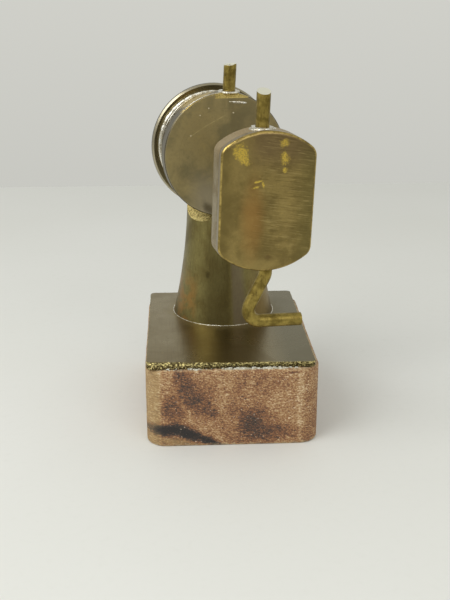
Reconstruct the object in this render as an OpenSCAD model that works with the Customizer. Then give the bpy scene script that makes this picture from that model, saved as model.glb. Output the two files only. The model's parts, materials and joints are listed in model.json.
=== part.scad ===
/* [Base] */
// Width of the wooden block, side to side
block_w = 33.3; // [32:0.1:36]
// Depth of the wooden block, front to back
block_d = 41.9; // [41:0.1:46]
// Height of the wooden block
block_h = 15.9; // [14:0.1:18]
// Radius of the block's upright corners
corner_r = 4; // [2:0.2:5]
// Thickness of the brass bed plate
plate_t = 1.1; // [0.8:0.1:1.6]
// Width of the bed plate, side to side
plate_w = 31.9; // [30:0.1:32.4]
// Depth of the bed plate, front to back
plate_d = 41.3; // [40:0.1:41.8]
// Radius of the bed plate's corners
plate_corner_r = 1; // [0.4:0.2:3]
// Radius of the pins soldered under the bed plate
plate_pin_r = 0.8; // [0.6:0.1:1]
// How deep those pins go into the wood
plate_pin_l = 6; // [4:0.5:8]

/* [Column] */
// Distance of the column's axis behind the middle of the base
column_y = 9.55; // [9:0.05:10]
// Sideways offset of the column and the bed plate from the middle of the block
column_x = -0.34; // [-0.6:0.02:0]
// Radius of the column at its narrowest, under the drum
column_top_r = 7.42; // [7:0.02:8]
// Radius of the hollow curve that flares the column out to its foot
flare_r = 116; // [100:1:140]
// Height above the bed plate at which the flare runs out
flare_h = 26.9; // [25:0.1:29]
// Depth of the flat filed across the column's upper left shoulder
shoulder_cut = 1; // [0:0.1:1.2]

/* [Arm] */
// Height of the main shaft above the underside of the block
axis_z = 51.7; // [50.5:0.1:53]
// Sideways offset of the shaft's axis where it crosses over the column
arm_x = -1.53; // [-1.8:0.01:-0.4]
// Angle by which the arm swings to the right of the base's centre line
arm_yaw = 10; // [6:0.5:12]
// Distance of the drum's front face in front of the column's axis
face_y = 7.4; // [7:0.1:8]
// Outside radius of the arm tube
tube_r = 1.8; // [1.6:0.05:2]
// Inside radius of the arm tube
tube_bore_r = 1.25; // [1.2:0.05:1.4]

/* [Drum] */
// Radius of the drum's front disc
disc_r = 12.2; // [11.8:0.1:12.4]
// Thickness of the drum's front disc
disc_t = 3.4; // [3:0.1:4]
// Radius of the drum behind its front disc
hub_r = 11.2; // [10.8:0.1:11.6]
// Length of the drum behind its front disc
hub_l = 6.2; // [5.6:0.1:6.4]
// Radius of the drum's cavity
cavity_r = 9.5; // [9:0.1:9.8]
// Thickness of the drum's front wall
front_wall = 2; // [1.8:0.1:2.6]
// Thickness of the tinned end cover
cover_t = 1.2; // [1:0.1:1.6]
// Radius of the spool pin
spool_pin_r = 1.25; // [1:0.05:1.4]
// How far the spool pin stands above the drum
spool_pin_h = 5.3; // [4:0.1:7]
// Lean of the spool pin to the right
spool_pin_lean = 3; // [0:0.5:5]

/* [Handwheel] */
// Outside radius of the handwheel
wheel_r = 12.8; // [12.4:0.1:13]
// Thickness of the handwheel's rim
wheel_t = 1.6; // [1.2:0.1:2]
// Radius of the handwheel's boss
boss_r = 3.6; // [3:0.1:4.5]
// Length of the boss behind the rim
boss_l = 3.2; // [2.6:0.1:4]
// Radius of the main shaft
shaft_r = 1; // [0.9:0.05:1.05]

/* [Head] */
// Width of the head between its two flats
head_w = 16.7; // [16:0.1:17.5]
// Radius of the round bar that the head is a slice of
head_r = 12.15; // [11.8:0.05:12.5]
// Thickness of the head, face plate included
head_t = 5.8; // [5.8:0.1:6.4]
// Distance from the drum's face to the head's front face
head_reach = 29.2; // [28:0.1:30]
// Sideways offset of the head's centre from the shaft
head_x = 0.65; // [0:0.05:1]
// Drop of the head's centre below the shaft
head_drop = 2.8; // [2.5:0.05:3]
// Lean of the head to the right
head_roll = 2; // [0:0.5:3]
// Thickness of the face plate
face_t = 1.1; // [1:0.05:1.3]
// Width of the filed bevel round the face plate
bevel = 0.5; // [0.3:0.05:0.7]

/* [Bar] */
// Radius of the guide rod and of the foot bar
bar_r = 1.2; // [1.1:0.05:1.25]
// Height of the guide rod above the head
rod_h = 6.6; // [6:0.1:8]
// Sideways distance from the guide rod to the foot bar
bar_offset = 1.8; // [1.5:0.1:2]
// Throw of the crank, half the bar's stroke
crank_throw = 2; // [1.6:0.1:2]
// Distance between the link's two eyes
link_l = 7; // [6.8:0.1:7.2]
// Length of the toe at the bottom of the foot bar
toe_l = 7.7; // [6:0.1:9]

/* [Hidden] */

$fn = 96;
pin_fn = 48;

// Fits and small working gaps
seat = 0.01;     // radial play of a fixed fit
run = 0.03;      // radial play of a running fit
gap = 0.05;      // end play between moving faces
past = 1;        // how far a cut runs past the surface it opens

// Levels of the base
plate_top = block_h + plate_t;
pin_inset = 5.5;

// Fixing stud up through the base and the column
stud_r = 1.5;
stud_washer_r = 3.6;
stud_washer_t = 0.6;
stud_nut_flats = 5.5;
stud_nut_t = 2.4;
counterbore_r = 4.3;
counterbore_h = 4.6;
stud_tip = 0.7;
stud_hole_r = 1.6;

// Stations along the arm, measured from the column's axis towards the back
disc_y0 = -face_y;
disc_y1 = disc_y0 + disc_t;
hub_y1 = disc_y1 + hub_l;
cavity_y0 = disc_y0 + front_wall;
cover_y1 = hub_y1 + cover_t;
cover_spigot = 0.6;
washer_t = 0.3;
washer_r = 3.2;
wheel_y0 = cover_y1 + washer_t + gap;
wheel_y1 = wheel_y0 + wheel_t;
boss_y1 = wheel_y1 + boss_l;
edge_r = 0.35;
dish_depth = 0.4;
dish_out_r = wheel_r - 2;
bush_r = 2.4;
bush_flange_r = 3.2;
bush_flange_t = 0.8;
bush_inner_l = 2;
collar_r = 2.8;
collar_l = 2.8;
collar_screw_r = 0.7;
slot_w = 0.2;
wheel_pin_r = 0.5;
wheel_relief = 0.4;

// Spool pin: its shoulder stands on a seat cut into the drum's front disc
spool_pin_x = 1.2;
spool_pin_y = disc_y0 + 2.2;
spool_seat_drop = 0.25;
spool_seat_r = 1.95;
spool_tenon_r = 0.9;
spool_tenon_l = 1.7;

// Filed flat on the drum's upper front edge
flat_drop = 1.1;
flat_left = -2;
flat_w = 7.2;
flat_tilt = 48;

// Direction and distance of the column's filed shoulder, square to the flat
shoulder_azimuth = -137;
shoulder_tilt = 42.3;
shoulder_edge = 29.95;
shoulder_reach = shoulder_edge - shoulder_cut;

// Depths inside the head, measured back from its front face
wall_t = 0.7;
side_wall = 1.1;
end_wall = 1.6;
lip_l = 0.6;
head_y0 = -face_y - head_reach;
body_depth = head_t - face_t;
floor_s = head_t - wall_t;
slice_t = 0.5;
disc_s = floor_s - gap - slice_t;
link_s = disc_s - gap - slice_t;
slider_back_s = link_s - gap;
slider_t = 1.3;
slider_mid_s = slider_back_s - slider_t / 2;
head_cx = head_x;
head_cz = -head_drop;
half_w = head_w / 2;
inner_r = head_r - end_wall;
inner_half_w = half_w - side_wall;

// Crank, link and crosshead
crank_disc_r = 3;
small_pin_r = 0.5;
eye_r = 1;
wrist_z = crank_throw - link_l;
slider_side = 1.5;
slider_half_h = 1.9;
slider_left = -slider_side;
slider_right = bar_offset + slider_side;
slider_top = wrist_z + slider_half_h;
slider_bottom = wrist_z - slider_half_h;
tenon_r = 0.45;
tenon_l = 1.2;
rivet_r = 0.9;
rivet_t = 0.35;

// Guide rod and foot bar
head_top_z = head_cz + head_r;
flat_top_z = head_cz + inner_r - 2 * gap;
bar_bush_r = 1.9;
bush_proud = 0.25;
bend_drop = 1.05;
bend_z = head_cz - head_r - bend_drop;
bend_angle = 25;
upper_bend_r = 2.5;
lower_bend_r = 2.2;
shin_l = 5.6;

// Closing posts of the face plate, as offsets from the head's centre
post_x = 5;
post_z = 5.6;
post_r = 1.15;
closing_r = 0.6;
closing_head_r = 1.05;
closing_l = 2.4;

brass = [0.55, 0.49, 0.31];
gold_brass = [0.66, 0.57, 0.25];
tin = [0.82, 0.81, 0.77];
steel = [0.6, 0.6, 0.6];
bronze = [0.6, 0.45, 0.28];
timber = [0.52, 0.4, 0.28];

// ---- frames of reference ----

// Origin on the shaft's axis above the column, +Y towards the handwheel
module arm_frame() {
    translate([arm_x, column_y, axis_z])
        rotate([0, 0, arm_yaw])
            children();
}

// The same origin with the head's lean
module head_frame() {
    arm_frame()
        rotate([0, head_roll, 0])
            children();
}

// Turns a solid that stands on Z so that it runs back along the arm from y0
module along_arm(y0) {
    translate([0, y0, 0])
        rotate([-90, 0, 0])
            children();
}

// The same, from a depth inside the head
module from_face(depth) {
    along_arm(head_y0 + depth)
        children();
}

// ---- shared shapes ----

module rounded_slab(w, d, h, r) {
    linear_extrude(h) {
        square([w - 2 * r, d], center = true);
        square([w, d - 2 * r], center = true);
        for (sx = [-1, 1], sy = [-1, 1])
            translate([sx * (w / 2 - r), sy * (d / 2 - r)])
                circle(r);
    }
}

module tube(outer, inner, length) {
    difference() {
        cylinder(r = outer, h = length);
        translate([0, 0, -past])
            cylinder(r = inner, h = length + 2 * past);
    }
}

// A disc or collar turned with a small bevel on both edges
module bevelled_disc(r, h, b) {
    rotate_extrude()
        polygon([[0, 0], [r - b, 0], [r, b], [r, h - b], [r - b, h], [0, h]]);
}

// Positions of the four pins under the bed plate
module at_plate_pins() {
    for (sx = [-1, 1], sy = [-1, 1])
        translate([sx * (block_w / 2 - pin_inset), sy * (block_d / 2 - pin_inset), 0])
            children();
}

// Centres of the two closing posts, in the head's frame
module at_closing_posts() {
    for (side = [-1, 1])
        translate([head_cx + side * post_x, 0, head_cz - side * post_z])
            children();
}

// A slice of round bar with two flats, in the head's frame
module head_slice(r, half_width, depth, length) {
    intersection() {
        translate([head_cx, 0, head_cz])
            from_face(depth)
                cylinder(r = r, h = length, $fn = 128);
        translate([head_cx - half_width, head_y0 + depth, head_cz - r])
            cube([2 * half_width, length, 2 * r]);
    }
}

// ---- base ----

module wood_block() {
    color(timber)
        difference() {
            rounded_slab(block_w, block_d, block_h, corner_r);
            translate([column_x, column_y, -past])
                cylinder(r = stud_hole_r, h = block_h + 2 * past, $fn = pin_fn);
            translate([column_x, column_y, -past])
                cylinder(r = counterbore_r, h = counterbore_h + past);
            at_plate_pins()
                translate([0, 0, block_h - plate_pin_l])
                    cylinder(r = plate_pin_r + seat, h = plate_pin_l + past, $fn = pin_fn);
        }
}

module bed_plate() {
    color(brass)
        difference() {
            translate([column_x, 0, block_h])
                rounded_slab(plate_w, plate_d, plate_t, plate_corner_r);
            translate([column_x, column_y, block_h - past])
                cylinder(r = stud_hole_r, h = plate_t + 2 * past, $fn = pin_fn);
        }
}

module plate_pins() {
    color(brass)
        at_plate_pins()
            translate([0, 0, block_h - plate_pin_l + gap])
                cylinder(r = plate_pin_r, h = plate_pin_l - gap, $fn = pin_fn);
}

// ---- column and its stud ----

// Half section of the flared column, before the drum's seat is cut
module column_section() {
    foot_r = column_top_r + flare_r - sqrt(flare_r * flare_r - flare_h * flare_h);
    difference() {
        square([foot_r + past, axis_z - plate_top]);
        translate([column_top_r + flare_r, flare_h])
            circle(flare_r, $fn = 360);
    }
}

module column() {
    color(brass)
        difference() {
            translate([column_x, column_y, plate_top])
                rotate_extrude()
                    column_section();
            arm_frame() {
                along_arm(-2 * hub_r)
                    cylinder(r = disc_r + seat, h = 2 * hub_r + disc_y1 + gap);
                along_arm(-past)
                    cylinder(r = hub_r + seat, h = 2 * hub_r);
                along_arm(disc_y1)
                    cylinder(r = hub_r + seat, h = hub_l);
                along_arm(cover_y1 - gap)
                    cylinder(r = wheel_r + wheel_relief, h = 2 * hub_r);
            }
            translate([column_x, column_y, plate_top - past])
                cylinder(r = stud_hole_r, h = axis_z, $fn = pin_fn);
            rotate([0, 0, shoulder_azimuth])
                rotate([0, shoulder_tilt, 0])
                    translate([-block_d, -block_d, shoulder_reach])
                        cube([2 * block_d, 2 * block_d, block_d]);
        }
}

module tie_stud() {
    color(steel)
        translate([column_x, column_y, counterbore_h - stud_washer_t - stud_nut_t - stud_tip])
            cylinder(r = stud_r, $fn = pin_fn,
                     h = axis_z - cavity_r + stud_tip - counterbore_h
                         + stud_washer_t + stud_nut_t + stud_tip);
}

module stud_washer() {
    color(steel)
        translate([column_x, column_y, counterbore_h - stud_washer_t])
            tube(stud_washer_r, stud_r + seat, stud_washer_t);
}

module stud_nut() {
    color(steel)
        translate([column_x, column_y, counterbore_h - stud_washer_t - stud_nut_t])
            difference() {
                cylinder(d = stud_nut_flats / cos(30), h = stud_nut_t, $fn = 6);
                translate([0, 0, -past])
                    cylinder(r = stud_r + seat, h = stud_nut_t + 2 * past, $fn = pin_fn);
            }
}

// ---- drum ----

// The middle of the spool pin's seat, in the arm's frame
module spool_pin_place() {
    translate([spool_pin_x, spool_pin_y, disc_r - spool_seat_drop])
        rotate([0, spool_pin_lean, 0])
            children();
}

module drum_housing() {
    color(brass)
        difference() {
            arm_frame()
                along_arm(disc_y0)
                    rotate_extrude()
                        polygon([
                            [0, 0], [disc_r - edge_r / 2, 0], [disc_r, edge_r / 2],
                            [disc_r, disc_t - edge_r / 2], [disc_r - edge_r / 2, disc_t],
                            [hub_r, disc_t], [hub_r, disc_t + hub_l], [0, disc_t + hub_l]
                        ]);
            arm_frame() {
                along_arm(cavity_y0)
                    cylinder(r = cavity_r, h = disc_t + hub_l);
                along_arm(disc_y0 - past)
                    cylinder(r = tube_r + seat, h = front_wall + 2 * past, $fn = pin_fn);
                translate([flat_left, disc_y0, disc_r - flat_drop])
                    rotate([flat_tilt, 0, 0])
                        cube([flat_w, 2 * disc_t, disc_t]);
                spool_pin_place() {
                    cylinder(r = spool_seat_r, h = past, $fn = pin_fn);
                    translate([0, 0, -spool_tenon_l - gap])
                        cylinder(r = spool_tenon_r + seat, h = spool_tenon_l + past, $fn = pin_fn);
                }
            }
            translate([column_x, column_y, plate_top])
                cylinder(r = stud_r + seat, h = axis_z - plate_top, $fn = pin_fn);
        }
}

module drum_end_cover() {
    color(tin)
        arm_frame()
            difference() {
                union() {
                    along_arm(hub_y1)
                        bevelled_disc(hub_r, cover_t, edge_r / 2);
                    along_arm(hub_y1 - cover_spigot)
                        cylinder(r = cavity_r - seat, h = cover_spigot + cover_t / 2);
                }
                along_arm(hub_y1 - cover_spigot - past)
                    cylinder(r = bush_r + seat, h = 2 * past + cover_spigot + cover_t, $fn = pin_fn);
            }
}

module drum_bush() {
    color(bronze)
        arm_frame()
            difference() {
                union() {
                    along_arm(cavity_y0 - bush_inner_l)
                        cylinder(r = tube_bore_r - seat, h = bush_inner_l + past / 4, $fn = pin_fn);
                    along_arm(cavity_y0)
                        cylinder(r = bush_flange_r, h = bush_flange_t, $fn = pin_fn);
                }
                along_arm(disc_y0 - past)
                    cylinder(r = shaft_r + run, h = front_wall + bush_flange_t + 2 * past, $fn = pin_fn);
            }
}

module rear_bush() {
    color(bronze)
        arm_frame()
            along_arm(hub_y1 - bush_inner_l)
                tube(bush_r, shaft_r + run, bush_inner_l + cover_t, $fn = pin_fn);
}

module spool_pin() {
    color(gold_brass)
        arm_frame()
            spool_pin_place() {
                cylinder(r = spool_pin_r, h = spool_seat_drop + spool_pin_h, $fn = pin_fn);
                translate([0, 0, -spool_tenon_l])
                    cylinder(r = spool_tenon_r, h = spool_tenon_l + gap, $fn = pin_fn);
            }
}

// ---- shaft and handwheel ----

module thrust_washer() {
    color(tin)
        arm_frame()
            along_arm(cover_y1)
                tube(washer_r, shaft_r + run, washer_t, $fn = pin_fn);
}

module handwheel() {
    color(brass)
        arm_frame()
            difference() {
                along_arm(wheel_y0)
                    rotate_extrude()
                        polygon([
                            [shaft_r + seat, 0], [wheel_r - edge_r, 0], [wheel_r, edge_r],
                            [wheel_r, wheel_t - edge_r], [wheel_r - edge_r, wheel_t],
                            [dish_out_r, wheel_t], [dish_out_r - dish_depth, wheel_t - dish_depth],
                            [boss_r + dish_depth, wheel_t - dish_depth], [boss_r, wheel_t],
                            [boss_r, wheel_t + boss_l - edge_r],
                            [boss_r - edge_r, wheel_t + boss_l], [shaft_r + seat, wheel_t + boss_l]
                        ]);
                translate([0, (wheel_y1 + boss_y1) / 2, -boss_r - past])
                    cylinder(r = wheel_pin_r + seat, h = 2 * (boss_r + past), $fn = pin_fn);
            }
}

module handwheel_pin() {
    color(steel)
        arm_frame()
            translate([0, (wheel_y1 + boss_y1) / 2, -boss_r])
                cylinder(r = wheel_pin_r, h = 2 * boss_r, $fn = pin_fn);
}

module main_shaft() {
    shaft_y0 = head_y0 + disc_s;
    color(steel)
        arm_frame()
            difference() {
                along_arm(shaft_y0)
                    cylinder(r = shaft_r, h = boss_y1 + edge_r - shaft_y0, $fn = pin_fn);
                translate([0, (wheel_y1 + boss_y1) / 2, -boss_r])
                    cylinder(r = wheel_pin_r + seat, h = 2 * boss_r, $fn = pin_fn);
            }
}

// The collar sits in front of the rear bush and takes the shaft's end play
module collar_place() {
    arm_frame()
        translate([0, hub_y1 - bush_inner_l - gap - collar_l, 0])
            children();
}

module shaft_collar() {
    color(steel)
        collar_place()
            difference() {
                along_arm(0)
                    bevelled_disc(collar_r, collar_l, edge_r);
                along_arm(-past)
                    cylinder(r = shaft_r + seat, h = collar_l + 2 * past, $fn = pin_fn);
                translate([0, collar_l / 2, 0])
                    cylinder(r = collar_screw_r + seat, h = 2 * collar_r, $fn = pin_fn);
            }
}

module collar_screw() {
    color(steel)
        collar_place()
            translate([0, collar_l / 2, shaft_r])
                difference() {
                    cylinder(r = collar_screw_r, h = collar_r - shaft_r - seat, $fn = pin_fn);
                    translate([-collar_r, -slot_w / 2, collar_r - shaft_r - edge_r])
                        cube([2 * collar_r, slot_w, 2 * edge_r]);
                }
}

// ---- arm and head ----

module arm_tube() {
    color(brass)
        arm_frame()
            along_arm(head_y0 + floor_s)
                tube(tube_r, tube_bore_r, cavity_y0 - head_y0 - floor_s, $fn = pin_fn);
}

module head_bush() {
    color(bronze)
        arm_frame()
            along_arm(head_y0 + floor_s)
                tube(tube_bore_r - seat, shaft_r + run, 2 * bush_inner_l, $fn = pin_fn);
}

module head_body() {
    color(brass)
        head_frame()
            difference() {
                head_slice(head_r, half_w, face_t, body_depth);
                head_slice(inner_r, inner_half_w, face_t - past, floor_s - face_t + past);
                from_face(floor_s - past)
                    cylinder(r = tube_r + seat, h = wall_t + 2 * past, $fn = pin_fn);
                translate([0, head_y0 + slider_mid_s, 0])
                    cylinder(r = bar_bush_r + seat, h = 2 * head_r, $fn = pin_fn);
                translate([bar_offset, head_y0 + slider_mid_s, head_cz - 2 * head_r])
                    cylinder(r = bar_bush_r + seat, h = 2 * head_r, $fn = pin_fn);
                at_closing_posts() {
                    from_face(floor_s - past)
                        cylinder(r = closing_r + seat, h = wall_t + 2 * past, $fn = pin_fn);
                    from_face(head_t - wall_t / 2)
                        cylinder(r = closing_head_r + seat, h = past, $fn = pin_fn);
                }
            }
}

// The face plate is bevelled all round and has a lip that fits inside the head
module face_plate() {
    color(brass)
        head_frame() {
            intersection() {
                translate([head_cx, 0, head_cz])
                    from_face(0)
                        rotate_extrude($fn = 128)
                            polygon([[0, 0], [head_r - bevel, 0], [head_r, bevel], [head_r, face_t], [0, face_t]]);
                translate([head_cx, head_y0, head_cz - head_r])
                    linear_extrude(2 * head_r)
                        polygon([
                            [bevel - half_w, 0], [half_w - bevel, 0], [half_w, bevel],
                            [half_w, face_t], [-half_w, face_t], [-half_w, bevel]
                        ]);
            }
            difference() {
                head_slice(inner_r - seat, inner_half_w - seat, face_t - gap, lip_l + gap);
                head_slice(inner_r - 1, inner_half_w - 1, face_t, lip_l + past);
            }
        }
}

module closing_posts() {
    post_depth = floor_s - face_t;
    color(brass)
        head_frame()
            at_closing_posts()
                difference() {
                    from_face(face_t)
                        cylinder(r = post_r, h = post_depth, $fn = pin_fn);
                    from_face(floor_s - closing_l)
                        cylinder(r = closing_r + seat, h = closing_l + past, $fn = pin_fn);
                }
}

module closing_screws() {
    color(steel)
        head_frame()
            at_closing_posts()
                difference() {
                    union() {
                        from_face(floor_s - closing_l + gap)
                            cylinder(r = closing_r, h = closing_l + wall_t / 2, $fn = pin_fn);
                        from_face(head_t - wall_t / 2)
                            cylinder(r = closing_head_r, h = wall_t / 2, $fn = pin_fn);
                    }
                    translate([-closing_head_r, head_y0 + head_t - wall_t / 4, -slot_w / 2])
                        cube([2 * closing_head_r, wall_t, slot_w]);
                }
}

// Bushes through the head's top and bottom walls
module bar_bush(z0, z1) {
    translate([0, head_y0 + slider_mid_s, z0])
        tube(bar_bush_r, bar_r + run, z1 - z0, $fn = pin_fn);
}

module upper_bar_bush() {
    color(tin)
        head_frame()
            bar_bush(head_top_z - end_wall, head_top_z + bush_proud);
}

module lower_bar_bush() {
    color(bronze)
        head_frame()
            translate([bar_offset, 0, 0])
                bar_bush(head_cz - head_r - bush_proud, head_cz - head_r + end_wall);
}

// ---- crank and link ----

module crank_disc() {
    color(steel)
        head_frame()
            difference() {
                from_face(disc_s)
                    cylinder(r = crank_disc_r, h = slice_t);
                from_face(disc_s - past)
                    cylinder(r = shaft_r + seat, h = 2 * past, $fn = pin_fn);
                translate([0, 0, crank_throw])
                    from_face(disc_s - past)
                        cylinder(r = small_pin_r + seat, h = 2 * past, $fn = pin_fn);
            }
}

module crank_pin() {
    color(steel)
        head_frame()
            translate([0, 0, crank_throw])
                from_face(link_s)
                    cylinder(r = small_pin_r, h = disc_s + slice_t - link_s, $fn = pin_fn);
}

module connecting_link() {
    color(steel)
        head_frame()
            difference() {
                union() {
                    for (z = [crank_throw, wrist_z])
                        translate([0, 0, z])
                            from_face(link_s)
                                cylinder(r = eye_r, h = slice_t, $fn = pin_fn);
                    translate([-small_pin_r, head_y0 + link_s, wrist_z])
                        cube([2 * small_pin_r, slice_t, link_l]);
                }
                for (z = [crank_throw, wrist_z])
                    translate([0, 0, z])
                        from_face(link_s - past)
                            cylinder(r = small_pin_r + run, h = 2 * past, $fn = pin_fn);
            }
}

// ---- crosshead, guide rod and foot bar ----

module crosshead() {
    color(brass)
        head_frame()
            difference() {
                translate([slider_left, head_y0 + slider_back_s - slider_t, slider_bottom])
                    cube([slider_right - slider_left, slider_t, slider_top - slider_bottom]);
                translate([0, 0, wrist_z])
                    from_face(slider_back_s - slider_t - past)
                        cylinder(r = small_pin_r + seat, h = slider_t + 2 * past, $fn = pin_fn);
                translate([0, head_y0 + slider_mid_s, slider_top - tenon_l])
                    cylinder(r = tenon_r + seat, h = tenon_l + past, $fn = pin_fn);
                translate([bar_offset, head_y0 + slider_mid_s, slider_bottom - past])
                    cylinder(r = tenon_r + seat, h = tenon_l + past, $fn = pin_fn);
            }
}

module wrist_pin() {
    color(steel)
        head_frame()
            translate([0, 0, wrist_z]) {
                from_face(slider_back_s - slider_t)
                    cylinder(r = small_pin_r, h = slider_t, $fn = pin_fn);
                from_face(slider_back_s - slider_t - rivet_t)
                    cylinder(r = rivet_r, h = rivet_t, $fn = pin_fn);
            }
}

// Clears the back of a rod so that the link and the crank disc pass behind it
module rod_flat(z0, z1) {
    translate([-2 * bar_r, head_y0 + slider_back_s, z0])
        cube([4 * bar_r, 2 * bar_r, z1 - z0]);
}

module guide_rod() {
    rod_top = head_top_z + rod_h;
    color(gold_brass)
        head_frame()
            difference() {
                translate([0, head_y0 + slider_mid_s, 0]) {
                    translate([0, 0, slider_top])
                        cylinder(r = bar_r, h = rod_top - slider_top, $fn = pin_fn);
                    translate([0, 0, slider_top - tenon_l])
                        cylinder(r = tenon_r, h = tenon_l + gap, $fn = pin_fn);
                }
                rod_flat(slider_top - past, flat_top_z);
            }
}

// Part of a turn in the plane of the head, for a rod that arrives along -Z
module bend(centre_r, angle, side) {
    translate([side * centre_r, 0, 0])
        rotate([90, 0, 0])
            rotate([0, 0, side < 0 ? -angle : 180])
                rotate_extrude(angle = angle, $fn = 128)
                    translate([centre_r, 0])
                        circle(bar_r, $fn = pin_fn);
}

// The bar below the head: a bend to the left, a straight shin, then the toe to the right
module bent_foot() {
    bend(upper_bend_r, bend_angle, -1);
    translate([-upper_bend_r, 0, 0])
        rotate([0, bend_angle, 0])
            translate([upper_bend_r, 0, 0]) {
                translate([0, 0, -shin_l])
                    cylinder(r = bar_r, h = shin_l, $fn = pin_fn);
                translate([0, 0, -shin_l]) {
                    bend(lower_bend_r, 90 + bend_angle, 1);
                    translate([lower_bend_r, 0, 0])
                        rotate([0, -90 - bend_angle, 0])
                            translate([-lower_bend_r, 0, -toe_l])
                                cylinder(r = bar_r, h = toe_l, $fn = pin_fn);
                }
            }
}

module foot_bar() {
    color(gold_brass)
        head_frame()
            difference() {
                translate([bar_offset, head_y0 + slider_mid_s, 0]) {
                    translate([0, 0, bend_z])
                        cylinder(r = bar_r, h = slider_bottom - bend_z, $fn = pin_fn);
                    translate([0, 0, slider_bottom - gap])
                        cylinder(r = tenon_r, h = tenon_l + gap, $fn = pin_fn);
                    translate([0, 0, bend_z])
                        bent_foot();
                }
                translate([bar_offset, 0, 0])
                    rod_flat(head_cz - inner_r, slider_bottom + past);
            }
}

wood_block();
bed_plate();
plate_pins();
column();
tie_stud();
stud_washer();
stud_nut();
drum_housing();
drum_end_cover();
drum_bush();
rear_bush();
spool_pin();
thrust_washer();
handwheel();
handwheel_pin();
main_shaft();
shaft_collar();
collar_screw();
arm_tube();
head_bush();
head_body();
face_plate();
closing_posts();
closing_screws();
upper_bar_bush();
lower_bar_bush();
crank_disc();
crank_pin();
connecting_link();
crosshead();
wrist_pin();
guide_rod();
foot_bar();
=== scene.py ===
"""A small handmade brass sewing machine model on a wooden block, built round its CAD frame."""

import json
import math
import random

import bmesh
import bpy
from mathutils import Matrix, Vector, noise


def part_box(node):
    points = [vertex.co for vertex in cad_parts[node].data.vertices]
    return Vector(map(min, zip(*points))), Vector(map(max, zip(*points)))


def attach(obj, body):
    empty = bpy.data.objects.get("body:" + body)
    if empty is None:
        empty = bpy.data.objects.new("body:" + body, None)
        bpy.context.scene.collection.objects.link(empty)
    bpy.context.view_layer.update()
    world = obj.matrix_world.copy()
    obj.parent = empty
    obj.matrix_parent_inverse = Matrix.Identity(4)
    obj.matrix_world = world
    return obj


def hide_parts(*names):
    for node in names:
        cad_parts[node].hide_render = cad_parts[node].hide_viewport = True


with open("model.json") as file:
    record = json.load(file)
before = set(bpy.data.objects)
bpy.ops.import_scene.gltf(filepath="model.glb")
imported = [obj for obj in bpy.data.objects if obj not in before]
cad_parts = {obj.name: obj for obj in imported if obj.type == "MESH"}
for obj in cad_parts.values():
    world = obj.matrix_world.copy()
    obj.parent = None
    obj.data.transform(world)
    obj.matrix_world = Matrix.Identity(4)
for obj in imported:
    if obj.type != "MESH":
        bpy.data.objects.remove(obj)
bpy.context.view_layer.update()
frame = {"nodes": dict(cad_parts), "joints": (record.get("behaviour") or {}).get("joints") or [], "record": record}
nodes = frame["nodes"]
joints = {j["name"]: j for j in frame["joints"]}

MM = 0.001

# ---- the arm's frame and the head's frame, from the record's joints; lengths below are mm ----

HUB = Vector(joints["handwheel_turn"]["pos_m"]) / MM
BACK = Vector(joints["handwheel_turn"]["axis"]).normalized()
UP = Vector((0, 0, 1))
RIGHT = BACK.cross(UP).normalized()
HEAD_UP = Vector(joints["bar_slide"]["axis"]).normalized()
HEAD_RIGHT = BACK.cross(HEAD_UP).normalized()


def span(node, axis, origin=HUB):
    """The lowest and highest reach of a CAD node along an axis from a point."""
    reach = [(v.co / MM - origin).dot(axis) for v in nodes[node].data.vertices]
    return min(reach), max(reach)


def box(node):
    """The lowest and highest corner of a CAD node's box."""
    low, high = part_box(node)
    return low / MM, high / MM


DISC_FRONT = span("drum_housing", BACK)[0]
DISC_R = span("drum_housing", RIGHT)[1]
BARREL_R = span("drum_end_cover", RIGHT)[1]
COVER_BACK = span("drum_end_cover", BACK)[1]
WHEEL_R = span("handwheel", RIGHT)[1]
FACE_FRONT, FACE_BACK = span("face_plate", BACK)
HEAD_BACK = span("head_body", BACK)[1]
head_left, head_right = span("head_body", HEAD_RIGHT)
head_low, head_high = span("head_body", HEAD_UP)
HEAD_C = (
    HUB
    + HEAD_RIGHT * (head_left + head_right) / 2
    + HEAD_UP * (head_low + head_high) / 2
    + BACK * FACE_FRONT
)
HEAD_HALF = (head_right - head_left) / 2
HEAD_R = (head_high - head_low) / 2

block_low, block_high = box("wood_block")
plate_low, plate_high = box("bed_plate")
column_low, column_high = box("column")
COLUMN = (column_low + column_high) / 2
COLUMN.z = plate_high.z
FOOT_R = (column_high.x - column_low.x) / 2


def rgb(r, g, b):
    """A colour given as 0 to 255 display values, as the linear values nodes take."""
    return tuple(
        c / 255 / 12.92 if c / 255 <= 0.04045 else ((c / 255 + 0.055) / 1.055) ** 2.4
        for c in (r, g, b)
    ) + (1,)


# ---- materials ----


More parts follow.
